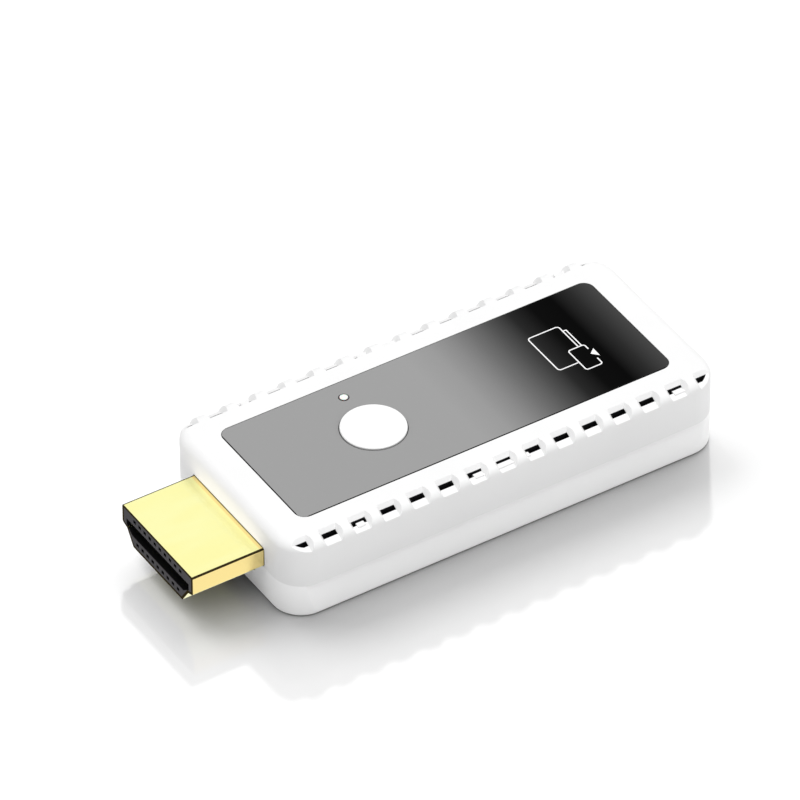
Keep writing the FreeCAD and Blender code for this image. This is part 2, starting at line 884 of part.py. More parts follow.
def radio_shield():
    """The radio module's pressed steel can, closed above and open below."""
    x0 = radio_front + shield_margin
    x1 = x0 + shield_length
    half = radio_width / 2 - shield_margin
    top = radio_top + shield_height
    can = rounded_block(x0, x1, -half, half, radio_top, top, shield_wall * 2)
    hollow = box(x0 + shield_wall, x1 - shield_wall, -half + shield_wall, half - shield_wall,
                 radio_top, top - shield_wall)
    return can.cut(hollow)


def antenna_jack():
    """The small coaxial jack on the radio module."""
    return block(jack_x, jack_y, jack_size, jack_size, radio_top, radio_top + jack_height)


def antenna_plug():
    """The lead's snap-on plug, with the sleeve that grips the lead."""
    base = radio_top + jack_height
    cap = disc(jack_x, jack_y, plug_cap_diameter, base, base + plug_cap_height)
    start = FreeCAD.Vector(jack_x, jack_y, base + sleeve_height)
    sleeve = Part.makeCylinder(sleeve_diameter / 2, sleeve_length, start, FreeCAD.Vector(1, 0, 0))
    return joined([cap, sleeve])


def lead_path():
    """The lead's route: straight out of the plug's sleeve, past the inductors, and over to the film."""
    start_x = jack_x + sleeve_length
    start_z = radio_top + jack_height + sleeve_height
    end_z = ceiling - film_thickness - film_gap - lead_diameter / 2
    end_x = body_length - film_from_rear - lead_from_film_edge
    end_y = film_width - lead_from_film_edge
    middle_z = start_z + lead_rise * (end_z - start_z)
    return [
        (start_x, jack_y, start_z),
        (start_x + (end_x - start_x) / 2, jack_y, start_z),
        (end_x, jack_y + lead_drift, middle_z),
        (end_x, end_y, end_z),
    ]


def rounded_path(points):
    """Straight runs joined by tangent arcs, each as large as its two runs allow."""
    vectors = [FreeCAD.Vector(*point) for point in points]
    edges = []
    start = vectors[0]
    for before, corner, after in zip(vectors, vectors[1:], vectors[2:]):
        run_in = (corner - before).normalize()
        run_out = (after - corner).normalize()
        reach = lead_bend_share * min((corner - before).Length, (after - corner).Length)
        turn = run_in.getAngle(run_out)
        radius = reach / math.tan(turn / 2)
        print("lead bend radius", round(radius, 2))
        first = corner - run_in * reach
        last = corner + run_out * reach
        inward = (run_out - run_in).normalize()
        middle = corner + inward * (radius / math.cos(turn / 2) - radius)
        edges.append(Part.LineSegment(start, first).toShape())
        edges.append(Part.Arc(first, middle, last).toShape())
        start = last
    edges.append(Part.LineSegment(start, vectors[-1]).toShape())
    return Part.Wire(edges)


def antenna_lead():
    """The thin coaxial lead between the radio module and the antenna film."""
    path = rounded_path(lead_path())
    start = path.Edges[0].Vertexes[0].Point
    direction = path.Edges[0].tangentAt(path.Edges[0].FirstParameter)
    ring = Part.Wire(Part.makeCircle(lead_diameter / 2, start, direction))
    tube = path.makePipeShell([ring], True, False)
    expected = math.pi * lead_diameter ** 2 / 4 * path.Length
    print("lead volume", round(tube.Volume, 3), "expected", round(expected, 3))
    return tube


def antenna_film():
    """The flexible antenna stuck under the roof, near the far end."""
    x1 = body_length - film_from_rear
    return box(x1 - film_length, x1, 0, film_width, ceiling - film_thickness, ceiling)


def indicator_led():
    """The indicator lamp under the light pipe."""
    return block(button_x, indicator_y, led_length, led_width, board_top, board_top + led_height)


def inductors():
    """Two power inductors ahead of the socket, with softened corners."""
    half = inductor_size / 2
    return [
        rounded_block(inductor_x - half, inductor_x + half, y - half, y + half,
                      board_top, board_top + inductor_height, part_gap)
        for y in (-inductor_spacing / 2, inductor_spacing / 2)
    ]


def regulators():
    """The voltage regulators next to the inductors."""
    return [
        block(regulator_x, y, regulator_length, regulator_width, board_top, board_top + regulator_height)
        for y in (-inductor_spacing / 2, inductor_spacing / 2)
    ]


def crystals():
    """One crystal for the radio above the board and one for the processor below it."""
    radio_crystal_x = radio_front - part_gap - crystal_length / 2
    radio_crystal_y = -switch_size / 2 - terminal_reach - part_gap - crystal_width / 2
    processor_crystal_x = processor_x + processor_size / 2 + part_gap + crystal_length / 2
    return [
        block(radio_crystal_x, radio_crystal_y, crystal_length, crystal_width,
              board_top, board_top + crystal_height),
        block(processor_crystal_x, processor_size / 2, crystal_length, crystal_width,
              board_bottom - crystal_height, board_bottom),
    ]


def capacitor_row(x, z0):
    """A row of small capacitors across the board."""
    first = -capacitor_pitch * (capacitor_count - 1) / 2
    return [
        block(x, first + capacitor_pitch * index, capacitor_length, capacitor_width,
              z0, z0 + capacitor_height)
        for index in range(capacitor_count)
    ]


def capacitors():
    """The capacitors beside the radio above the board and beside the processor below it."""
    upper_x = radio_rear + part_gap + capacitor_length / 2
    lower_x = processor_x - processor_size / 2 - part_gap - capacitor_length / 2
    return capacitor_row(upper_x, board_top) + capacitor_row(lower_x, board_bottom - capacitor_height)


def guard_chips():
    """The surge guards behind the plug's contacts."""
    x = plug_arm_end + part_gap + guard_chip_length / 2
    first = -guard_chip_pitch * (guard_chip_count - 1) / 2
    return [
        block(x, first + guard_chip_pitch * index, guard_chip_length, guard_chip_width,
              board_top, board_top + guard_chip_height)
        for index in range(guard_chip_count)
    ]


def save(name, shape):
    """Writes one sub-part in the finished frame, with the origin under the stick's middle."""
    solids = shape if isinstance(shape, list) else shape.Solids
    moved = [solid.copy() for solid in solids]
    for solid in moved:
        solid.translate(FreeCAD.Vector(overall_shift, 0, 0))
    result = moved[0] if len(moved) == 1 else Part.makeCompound(moved)
    volume = sum(solid.Volume for solid in moved)
    valid = all(solid.isValid() for solid in moved)
    print(name, "solids", len(moved), "volume", round(volume, 2), "valid", valid)
    result.exportStep(os.path.join("parts", name + ".step"))


os.makedirs("parts", exist_ok=True)
save("bottom_shell", bottom_shell())
save("top_shell", top_shell())
save("face_plate", face_plate())
save("plate_adhesive", plate_adhesive())
save("button_cap", button_cap())
save("light_pipe", light_pipe())
save("main_board", main_board())
save("hdmi_shell", hdmi_shell())
save("hdmi_insulator", hdmi_insulator())
save("hdmi_contacts_upper", hdmi_contacts(upper_contact_count, 1))
save("hdmi_contacts_lower", hdmi_contacts(lower_contact_count, -1))
save("usb_shell", usb_shell())
save("usb_tongue", usb_tongue())
save("usb_contacts", usb_contacts())
save("switch_base", switch_base())
save("switch_cover", switch_cover())
save("switch_terminals", switch_terminals())
save("switch_dome", switch_dome())
save("switch_plunger", switch_plunger())
save("processor_chip", processor_chip())
save("thermal_pad", thermal_pad())
save("heat_spreader", heat_spreader())
save("memory_chip", memory_chip())
save("flash_chip", flash_chip())
save("radio_board", radio_board())
save("radio_shield", radio_shield())
save("antenna_jack", antenna_jack())
save("antenna_plug", antenna_plug())
save("antenna_lead", antenna_lead())
save("antenna_film", antenna_film())
save("indicator_led", indicator_led())
save("inductors", inductors())
save("regulators", regulators())
save("crystals", crystals())
save("capacitors", capacitors())
save("guard_chips", guard_chips())
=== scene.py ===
# %% [markdown]
# # A wireless HDMI receiver, dressed for its portrait
# The object is a small white stick. It plugs into a television with the gold-coloured plug on
# one end and takes its power through the socket on the other. Its solids come ready made from
# the CAD frame, in metres, each at its own place. This lesson gives every one of them a finish,
# adds the line drawing printed on the dark plate, and sets up the table, the light and the lens.

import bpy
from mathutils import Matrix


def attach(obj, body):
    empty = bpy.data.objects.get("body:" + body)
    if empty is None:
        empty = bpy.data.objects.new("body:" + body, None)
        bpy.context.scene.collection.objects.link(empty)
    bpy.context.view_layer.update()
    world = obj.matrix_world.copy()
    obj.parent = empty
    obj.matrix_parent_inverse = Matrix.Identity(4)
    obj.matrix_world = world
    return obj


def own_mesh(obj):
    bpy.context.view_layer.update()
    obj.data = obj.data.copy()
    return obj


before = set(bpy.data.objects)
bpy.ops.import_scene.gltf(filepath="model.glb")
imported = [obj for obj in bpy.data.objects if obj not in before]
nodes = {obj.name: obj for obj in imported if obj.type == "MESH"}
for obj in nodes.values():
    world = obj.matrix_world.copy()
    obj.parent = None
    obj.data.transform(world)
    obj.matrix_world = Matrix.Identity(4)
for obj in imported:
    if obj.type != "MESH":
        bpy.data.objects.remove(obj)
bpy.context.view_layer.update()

# %% [markdown]
# The rest of Blender's tools come next. `MM` lets the lesson speak in millimetres, as the maker
# of such a stick would, while Blender keeps its metres. The picture uses the Standard view, so a
# colour that is written down is the colour that shows under plain light.

# %% Tools and units
import math

import bmesh
import bpy
from mathutils import Matrix, Vector

MM = 0.001
scene = bpy.context.scene
scene.view_settings.view_transform = "Standard"
print("view transform:", scene.view_settings.view_transform)

# %% [markdown]
# ## The lens
# The photograph was taken from in front and to the left, from about 40 degrees above the table,
# with a long lens that keeps the edges nearly parallel. The camera is placed by those two angles
# round a point near the middle of the stick, so no edge has to be lined up by eye, and two small
# shifts put the stick where the photograph has it. The camera's axes are worked out from the
# angles and put into a matrix as columns: right, up and back.

# %% Camera
AZIMUTH = math.radians(-32.463)
ELEVATION = math.radians(40.406)
DISTANCE = 1000 * MM
SHIFT_LEFT = 3.368 * MM
SHIFT_UP = 4.050 * MM
FOCAL_LENGTH = 430.94
SENSOR_WIDTH = 36

back = Vector((
    math.sin(AZIMUTH) * math.cos(ELEVATION),
    -math.cos(AZIMUTH) * math.cos(ELEVATION),
    math.sin(ELEVATION),
))
right = Vector((math.cos(AZIMUTH), math.sin(AZIMUTH), 0))
up = back.cross(right)
target = Vector((2.6 * MM, 0, 5 * MM)) - SHIFT_LEFT * right + SHIFT_UP * up

lens = bpy.data.cameras.new("portrait_lens")
lens.lens = FOCAL_LENGTH
lens.sensor_width = SENSOR_WIDTH
lens.clip_start = 0.05
lens.clip_end = 20
camera = bpy.data.objects.new("portrait_camera", lens)
scene.collection.objects.link(camera)
turn = Matrix((right, up, back)).transposed()
camera.matrix_world = Matrix.Translation(target + DISTANCE * back) @ turn.to_4x4()
scene.camera = camera
print("camera at", [round(value, 4) for value in camera.matrix_world.translation])

# %% [markdown]
# ## Helpers for the finishes
# Paint colours are written as the 0 to 255 numbers that a picture editor shows, and Blender wants
# them as amounts of light, so `paint` converts them. Every pattern reads the Object coordinates
# of its piece, because all pieces sit at the origin and keep their places in their meshes: the
# pattern then stays on the piece from any side. A Mapping node turns metres into millimetres, so
# the size of a grain can be written in millimetres too.

# %% Colours
def paint(red, green, blue):
    """A picture editor's colour as Blender's amounts of light."""
    channels = []
    for value in (red, green, blue):
        share = value / 255
        channels.append(share / 12.92 if share <= 0.04045 else ((share + 0.055) / 1.055) ** 2.4)
    return (*channels, 1.0)


print("mid grey is", round(paint(128, 128, 128)[0], 3), "of white")


# %% A finish to start from
def start_finish(name, colour, roughness, metallic=0.0, specular=0.5):
    """A material with a plain Principled surface, in place of the frame's own of that name."""
    carried_over = bpy.data.materials.get(name)
    if carried_over:
        bpy.data.materials.remove(carried_over)
    finish = bpy.data.materials.new(name)
    finish.use_nodes = True
    surface = finish.node_tree.nodes["Principled BSDF"]
    surface.inputs["Base Color"].default_value = colour
    surface.inputs["Roughness"].default_value = roughness
    surface.inputs["Metallic"].default_value = metallic
    surface.inputs["Specular IOR Level"].default_value = specular
    finish.diffuse_color = colour
    return finish


def surface_of(finish):
    return finish.node_tree.nodes["Principled BSDF"]


def add_node(finish, kind, **settings):
    """A node of one kind, with its settings made."""
    node = finish.node_tree.nodes.new(kind)
    for key, value in settings.items():
        setattr(node, key, value)
    return node


def join(finish, output, target_socket):
    finish.node_tree.links.new(output, target_socket)


def millimetres(finish, stretch=(1, 1, 1)):
    """Object coordinates in millimetres, stretched along an axis where a grain runs."""
    place = add_node(finish, "ShaderNodeTexCoord")
    scale = add_node(finish, "ShaderNodeMapping")
    scale.inputs["Scale"].default_value = [part / MM for part in stretch]
    join(finish, place.outputs["Object"], scale.inputs["Vector"])
    return scale.outputs["Vector"]


print("helpers ready")


# %% [markdown]
# Three small recipes make most of the finishes. `mottle` lets the colour drift a little, as dye
# and plating do. `uneven_gloss` lets the shine drift. `grain` raises the surface by thousandths of
# a millimetre, which is what tells moulded plastic from glass. All three are noise at a size that
# is written in millimetres. Noise hardly ever comes near 0 or 1, so the two drifts run between
# shares closer to its middle.

# %% Recipes
COLOUR_SHARES = (0.35, 0.65)
GLOSS_SHARES = (0.3, 0.7)


def noise(finish, size, stretch=(1, 1, 1)):
    """Noise whose blobs are about one size across, in millimetres."""
    cloud = add_node(finish, "ShaderNodeTexNoise")
    cloud.inputs["Scale"].default_value = 1 / size
    cloud.inputs["Detail"].default_value = 2
    join(finish, millimetres(finish, stretch), cloud.inputs["Vector"])
    return cloud.outputs["Fac"]


def mottle(finish, size, first, second, stretch=(1, 1, 1)):
    """The colour drifts between two paints."""
    ramp = add_node(finish, "ShaderNodeValToRGB")
    for stop, share, colour in zip(ramp.color_ramp.elements, COLOUR_SHARES, (first, second)):
        stop.position = share
        stop.color = colour
    join(finish, noise(finish, size, stretch=stretch), ramp.inputs["Fac"])
    join(finish, ramp.outputs["Color"], surface_of(finish).inputs["Base Color"])
    return ramp.outputs["Color"]


def uneven_gloss(finish, size, low, high, stretch=(1, 1, 1)):
    """The roughness drifts between two values."""
    spread = add_node(finish, "ShaderNodeMapRange")
    spread.inputs["From Min"].default_value = GLOSS_SHARES[0]
    spread.inputs["From Max"].default_value = GLOSS_SHARES[1]
    spread.inputs["To Min"].default_value = low
    spread.inputs["To Max"].default_value = high
    join(finish, noise(finish, size, stretch=stretch), spread.inputs["Value"])
    join(finish, spread.outputs["Result"], surface_of(finish).inputs["Roughness"])


def grain(finish, size, height, strength=0.5, stretch=(1, 1, 1)):
    """A fine relief, with its height in millimetres."""
    bump = add_node(finish, "ShaderNodeBump")
    bump.inputs["Strength"].default_value = strength
    bump.inputs["Distance"].default_value = height * MM
    join(finish, noise(finish, size, stretch=stretch), bump.inputs["Height"])
    join(finish, bump.outputs["Normal"], surface_of(finish).inputs["Normal"])


def wear(finish, *names):
    """The CAD nodes that wear a finish."""
    for name in names:
        mesh = nodes[name].data
        mesh.materials.clear()
        mesh.materials.append(finish)
    print(finish.name, "on", ", ".join(names))


print("recipes ready")

# %% [markdown]
# Some finishes change at a place on the piece: the plate's sides are darker than its face, and
# the inside of the casing is darker than its outside. The helpers below read one axis of a
# point's place, ask on which side of an edge it lies, and join such answers. An answer is 1 for
# yes and 0 for no, so a product means "both" and a maximum means "either". A ramp takes a place
# between two ends and gives the tone that belongs there.

# %% Questions about a place
def axes(finish):
    """The three coordinates of a point, in millimetres."""
    split = add_node(finish, "ShaderNodeSeparateXYZ")
    join(finish, millimetres(finish), split.inputs["Vector"])
    return split.outputs


def ask(finish, operation, first, second=None, value=None):
    """A sum, a product or a comparison of one or two outputs."""
    node = add_node(finish, "ShaderNodeMath", operation=operation)
    join(finish, first, node.inputs[0])
    if second is not None:
        join(finish, second, node.inputs[1])
    if value is not None:
        node.inputs[1].default_value = value
    return node.outputs["Value"]


def two_paints(finish, answer, no_paint, yes_paint):
    """One paint where the answer is 0 and another where it is 1; either may be a pattern."""
    blend = add_node(finish, "ShaderNodeMix", data_type="RGBA")
    join(finish, answer, blend.inputs["Factor"])
    for socket, chosen in (("A", no_paint), ("B", yes_paint)):
        if isinstance(chosen, tuple):
            blend.inputs[socket].default_value = chosen
        else:
            join(finish, chosen, blend.inputs[socket])
    join(finish, blend.outputs["Result"], surface_of(finish).inputs["Base Color"])
    return blend.outputs["Result"]


def grey_ramp(finish, tones):
    """A ramp through grey paints, each at its place between 0 and 1."""
    ramp = add_node(finish, "ShaderNodeValToRGB")
    stops = ramp.color_ramp.elements
    stops.remove(stops[1])
    for share, tone in tones:
        stops.new(share).color = paint(tone, tone, tone)
    stops.remove(stops[0])
    return ramp


print("questions ready")


# %% [markdown]
# ## White casing
# The casing is moulded from white plastic in two shells. Such plastic isn't mirror-smooth: the
# steel mould was polished and then lightly blasted, which leaves a satin sheen. A very fine
# relief and a slow drift of the gloss are enough, because the casing looks almost pure white with
# soft grey sides. The lower shell is painted a few shades lighter than the upper one: a painted
# highlight for the brighter light that the lower band of the sides catches. The casing's interior
# is painted near black, as painted shade that makes the vents look black. This painted shade lies
# within the walls and below the sloping floor of the vent pockets, but not on the white blocks
# that stiffen the casing at its latches and show in five vents of each side.

# %% Casing sizes
CASING_MIDDLE = 4.3
PARTING_LEVEL = 4.12
CORNER_PLACE = (23.3, 8.67)
SHADE_RADIUS = 2.96
SHADE_LEVELS = (1.1, 9.24)
POCKET_BACK = 10.79
POCKET_SLOPE = 0.492
BLOCKS = ((-13.8, -12.9), (0.5, 7.3), (25.25, 26.75))
BLOCK_START = 10.98
print("blocks under the vents at", BLOCKS)

# %% Casing finish
casing_white = start_finish("casing_white", paint(236, 236, 236), 0.4, specular=0.2)
place = axes(casing_white)
across = ask(casing_white, "ABSOLUTE", place["Y"])
shifted = ask(casing_white, "SUBTRACT", place["X"], value=CASING_MIDDLE)
along = ask(casing_white, "ABSOLUTE", shifted)

# %% Where the painted shade is
past = []
for distance, straight in zip((along, across), CORNER_PLACE):
    beyond = ask(casing_white, "SUBTRACT", distance, value=straight)
    beyond = ask(casing_white, "MAXIMUM", beyond, value=0)
    past.append(ask(casing_white, "MULTIPLY", beyond, beyond))
from_corner = ask(casing_white, "ADD", *past)
painted_shade_inside = ask(casing_white, "LESS_THAN", from_corner, value=SHADE_RADIUS ** 2)
sloped = ask(casing_white, "MULTIPLY", across, value=POCKET_SLOPE)
height = ask(casing_white, "ADD", place["Z"], sloped)
limits = (
    ("LESS_THAN", height, SHADE_LEVELS[1] + POCKET_SLOPE * POCKET_BACK),
    ("GREATER_THAN", place["Z"], SHADE_LEVELS[0]),
    ("LESS_THAN", place["Z"], SHADE_LEVELS[1]),
)
for operation, output, limit in limits:
    within = ask(casing_white, operation, output, value=limit)
    painted_shade_inside = ask(casing_white, "MULTIPLY", painted_shade_inside, within)

# %% Where the blocks are
outside_blocks = ask(casing_white, "LESS_THAN", across, value=BLOCK_START)
for start, end in BLOCKS:
    before = ask(casing_white, "LESS_THAN", place["X"], value=start)
    after = ask(casing_white, "GREATER_THAN", place["X"], value=end)
    beside = ask(casing_white, "MAXIMUM", before, after)
    clear = ask(casing_white, "MAXIMUM", beside, outside_blocks)
    painted_shade_inside = ask(casing_white, "MULTIPLY", painted_shade_inside, clear)

# %% Paint of the casing
upper = mottle(casing_white, 9, paint(235, 235, 235), paint(237, 237, 237))
# The lower shell's paint is a few shades lighter: a painted highlight for the brighter light its
# sides catch.
lower = mottle(casing_white, 9, paint(252, 252, 252), paint(254, 254, 254))
in_lower = ask(casing_white, "LESS_THAN", place["Z"], value=PARTING_LEVEL)
white = two_paints(casing_white, in_lower, upper, lower)
# The casing's interior is painted near black: painted shade that makes the vents look black.
two_paints(casing_white, painted_shade_inside, white, paint(22, 22, 24))
uneven_gloss(casing_white, 3, 0.36, 0.44)
grain(casing_white, 0.18, 0.002, 0.35)
wear(casing_white, "top_shell", "bottom_shell")

# %% [markdown]
# ## Button and indicator
# The button is the same white with a higher polish. The indicator is the domed end of a clear
# plastic rod that carries the lamp's light up from the board: it looks milky, so it gets some
# light scattered below its surface. Both stand in holes of the dark plate, where hardly any light
# reaches their feet, so a thin band at the level of the plate is painted darker.

# %% Button and indicator finishes
FOOT_LEVEL = 9.98
button_white = start_finish("button_white", paint(246, 246, 246), 0.16)
place = axes(button_white)
at_foot = ask(button_white, "LESS_THAN", place["Z"], value=FOOT_LEVEL)
plain = mottle(button_white, 3, paint(245, 245, 245), paint(247, 247, 247))
two_paints(button_white, at_foot, plain, paint(186, 186, 186))
uneven_gloss(button_white, 2, 0.13, 0.2)
grain(button_white, 0.6, 0.001, 0.2)
wear(button_white, "button_cap")

DOME_FOOT_LEVEL = 9.87
pipe_frosted = start_finish("pipe_frosted", paint(240, 240, 238), 0.25)
place = axes(pipe_frosted)
at_foot = ask(pipe_frosted, "LESS_THAN", place["Z"], value=DOME_FOOT_LEVEL)
plain = mottle(pipe_frosted, 0.6, paint(236, 236, 234), paint(243, 243, 241))
two_paints(pipe_frosted, at_foot, plain, paint(70, 70, 70))
surface_of(pipe_frosted).inputs["Subsurface Weight"].default_value = 0.35
surface_of(pipe_frosted).inputs["Subsurface Scale"].default_value = 0.4 * MM
uneven_gloss(pipe_frosted, 0.4, 0.2, 0.32)
wear(pipe_frosted, "light_pipe")

# %% [markdown]
# ## Dark plate
# The plate in the top is clear plastic, printed on its back and polished on its front. Its face
# is painted with a reflection whose tone runs along the stick: an even grey over the button's
# half, then a fade to black near the drawing, and a little lighter again at the far end. This
# painted reflection is the same across the whole width, so one ramp along X paints it. Its sides
# are black, and a hair of its rim is painted black too, a painted shade line round the plate. The
# ramp holds the tones of the painted reflection, less what the light and the gloss add.

# %% Painted reflection along the plate
PLATE_START = -18.66
PLATE_LENGTH = 45.92
PLATE_TOP = 9.82
PLATE_HALF_WIDTH = 8.19
SHADE_LINE_WIDTH = 0.08
SIDE_DEPTH = 0.06
plate_reflection_tones = [
    (0.0, 151), (22.6, 151), (25.8, 144), (28.3, 128), (30.8, 103), (33.3, 74),
    (35.8, 34), (38.3, 3), (41.0, 0), (43.3, 37), (45.9, 64),
]
print("tones along the plate:", len(plate_reflection_tones))

# %% Plate finish
plate_black = start_finish("plate_black", paint(20, 20, 20), 0.09, specular=0.02)
place = axes(plate_black)
along = add_node(plate_black, "ShaderNodeMapRange")
along.inputs["From Min"].default_value = PLATE_START
along.inputs["From Max"].default_value = PLATE_START + PLATE_LENGTH
join(plate_black, place["X"], along.inputs["Value"])
tones = grey_ramp(plate_black, [(reach / PLATE_LENGTH, tone) for reach, tone in plate_reflection_tones])
join(plate_black, along.outputs["Result"], tones.inputs["Fac"])
painted_reflection_area = ask(plate_black, "GREATER_THAN", place["Z"], value=PLATE_TOP - SIDE_DEPTH)
across = ask(plate_black, "ABSOLUTE", place["Y"])
for operation, output, limit in (
    ("LESS_THAN", across, PLATE_HALF_WIDTH - SHADE_LINE_WIDTH), ("GREATER_THAN", place["X"], PLATE_START + SHADE_LINE_WIDTH),
    ("LESS_THAN", place["X"], PLATE_START + PLATE_LENGTH - SHADE_LINE_WIDTH),
):
    inner = ask(plate_black, operation, output, value=limit)
    painted_reflection_area = ask(plate_black, "MULTIPLY", painted_reflection_area, inner)
# The face gets the painted reflection; the sides keep the plate's black, and the rim hair is a
# painted shade line.
two_paints(plate_black, painted_reflection_area, paint(24, 24, 24), tones.outputs["Color"])
uneven_gloss(plate_black, 6, 0.07, 0.11)
wear(plate_black, "face_plate")

# %% Adhesive under the plate
adhesive_film = start_finish("adhesive_film", paint(40, 40, 42), 0.7)
mottle(adhesive_film, 0.8, paint(34, 34, 36), paint(48, 48, 50))
grain(adhesive_film, 0.3, 0.01)
wear(adhesive_film, "plate_adhesive")

# %% [markdown]
# ## The plug
# The plug's tube is sheet metal with a thin gold-coloured plating. Plated metal is smooth but was
# rolled before it was plated, so it keeps very faint lines along its length. Its sides and the band
# next to the casing are painted a warmer gold, a painted reflection of the shaded table and painted
# bounced light from the white wall. Its sharp bends and its cut end are painted dark brown without
# the metal's shine: painted dark reflections that show as thin dark lines. Real gold would throw
# yellow light onto the table, but the shadow under the plug is plain grey. A Light Path node tells
# when a dull surface gathers light from the plating, and it gets a colourless one then. The core is
# black plastic with a slight sheen, and the contacts lie deep in their slots. Behind its front face
# the core is painted near black, as painted shade in those deep slots.

# %% Where the plug's painted dark lines and warm tint are
PLUG_TIP = -31.0
PLUG_ROOT = -22.4
PLUG_HALF_WIDTH = 6.95
PLUG_TOP = 6.645
LINE_WIDTH = 0.2
FAR_LINE = 6.66
WARM_WIDTH = 0.4
SKIN = 0.02
FRONT_DEPTH = 0.05
print("plug from", PLUG_TIP, "to", PLUG_ROOT, "mm")

# %% Plating
gold_plate = start_finish("gold_plate", paint(255, 252, 180), 0.22, metallic=1.0, specular=0)
plating = mottle(gold_plate, 2.5, paint(255, 251, 176), paint(255, 253, 184), (0.3, 1, 1))
place = axes(gold_plate)
aside = ask(gold_plate, "ABSOLUTE", place["Y"])
on_side = ask(gold_plate, "GREATER_THAN", aside, value=PLUG_HALF_WIDTH - SKIN)
# The sides and the band next to the casing are painted warmer: a painted reflection and painted
# bounced light.
near_root = ask(gold_plate, "GREATER_THAN", place["X"], value=PLUG_ROOT - WARM_WIDTH)
painted_warm_reflection = ask(gold_plate, "MAXIMUM", on_side, near_root)
plating = two_paints(gold_plate, painted_warm_reflection, plating, paint(253, 230, 154))
# The bends and the cut end are painted dark brown and lose their metal shine: painted dark
# reflections.
near_side = ask(gold_plate, "GREATER_THAN", aside, value=PLUG_HALF_WIDTH - LINE_WIDTH)
far_side = ask(gold_plate, "GREATER_THAN", place["Y"], value=FAR_LINE)
near_side = ask(gold_plate, "MAXIMUM", near_side, far_side)
near_top = ask(gold_plate, "GREATER_THAN", place["Z"], value=PLUG_TOP - LINE_WIDTH)
bend_dark_reflection = ask(gold_plate, "MULTIPLY", near_side, near_top)
cut_end = ask(gold_plate, "LESS_THAN", place["X"], value=PLUG_TIP + SKIN)
painted_dark_reflection = ask(gold_plate, "MAXIMUM", bend_dark_reflection, cut_end)
plating = two_paints(gold_plate, painted_dark_reflection, plating, paint(52, 44, 24))
seen_by_dull = add_node(gold_plate, "ShaderNodeLightPath").outputs["Is Diffuse Ray"]
two_paints(gold_plate, seen_by_dull, plating, paint(240, 240, 240))
polished = ask(gold_plate, "LESS_THAN", painted_dark_reflection, value=0.5)
join(gold_plate, polished, surface_of(gold_plate).inputs["Metallic"])
uneven_gloss(gold_plate, 1.5, 0.18, 0.26, (0.2, 1, 1))
grain(gold_plate, 0.25, 0.001, 0.15, (0.05, 1, 1))
wear(gold_plate, "hdmi_shell", "hdmi_contacts_upper", "hdmi_contacts_lower", "usb_contacts")

# %% Plastic cores
core_black = start_finish("core_black", paint(44, 42, 44), 0.5, specular=0.2)
outer_black = mottle(core_black, 0.9, paint(40, 38, 42), paint(48, 45, 49))
place = axes(core_black)
painted_slot_shade = ask(core_black, "GREATER_THAN", place["X"], value=PLUG_TIP + FRONT_DEPTH)
# Behind the plug's front face the cores are painted near black: painted shade in the deep slots.
two_paints(core_black, painted_slot_shade, outer_black, paint(9, 9, 10))
grain(core_black, 0.15, 0.003, 0.5)
wear(core_black, "hdmi_insulator", "usb_tongue")

# %% [markdown]
# ## Bare metals
# The power socket, the springs, the cooling plate and the small cans are metals with different
# surfaces. Each starts from its own grey and gets faint lines the way its sheet was rolled or its
# face was ground, by stretching the noise along one axis. The key's snap dome is a thin sheet that
# flattens under the plunger and jumps back; here it only gets a mesh of its own.

# %% Metals
socket_steel = start_finish("socket_steel", paint(190, 190, 192), 0.28, metallic=1.0)
mottle(socket_steel, 0.8, paint(184, 184, 187), paint(197, 197, 199), (0.2, 1, 1))
uneven_gloss(socket_steel, 0.6, 0.22, 0.34, (0.2, 1, 1))
grain(socket_steel, 0.12, 0.0015, 0.3, (0.08, 1, 1))
wear(socket_steel, "usb_shell")

spring_steel = start_finish("spring_steel", paint(205, 203, 198), 0.2, metallic=1.0)
mottle(spring_steel, 0.5, paint(198, 196, 191), paint(210, 208, 204), (1, 0.3, 1))
grain(spring_steel, 0.1, 0.001, 0.3, (1, 0.1, 1))
wear(spring_steel, "switch_dome", "switch_cover", "switch_terminals")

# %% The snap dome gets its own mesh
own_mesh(nodes["switch_dome"])

# %% More metals
spreader_aluminium = start_finish("spreader_aluminium", paint(200, 202, 205), 0.35, metallic=1.0)
mottle(spreader_aluminium, 0.6, paint(194, 196, 199), paint(207, 208, 211), (0.1, 1, 1))
grain(spreader_aluminium, 0.15, 0.004, 0.5, (0.04, 1, 1))
wear(spreader_aluminium, "heat_spreader")

shield_steel = start_finish("shield_steel", paint(188, 188, 186), 0.32, metallic=1.0)
mottle(shield_steel, 1.2, paint(180, 180, 178), paint(195, 195, 193))
uneven_gloss(shield_steel, 0.7, 0.26, 0.4)
grain(shield_steel, 0.2, 0.003, 0.4)
wear(shield_steel, "radio_shield")

crystal_can = start_finish("crystal_can", paint(176, 168, 150), 0.3, metallic=1.0)
mottle(crystal_can, 0.4, paint(170, 162, 144), paint(182, 175, 158))
grain(crystal_can, 0.12, 0.002, 0.4)
wear(crystal_can, "crystals", "antenna_jack", "antenna_plug")

# %% [markdown]
# ## Circuit board
# A board is glass cloth in resin under a green lacquer, and its copper tracks show through the
# lacquer as slightly lighter lines. The tracks run straight and turn at right angles, so a brick
# pattern of long thin bricks draws them: the joints between the bricks are the tracks. It isn't
# the real wiring, but it reads as a board when a light falls through the vents.

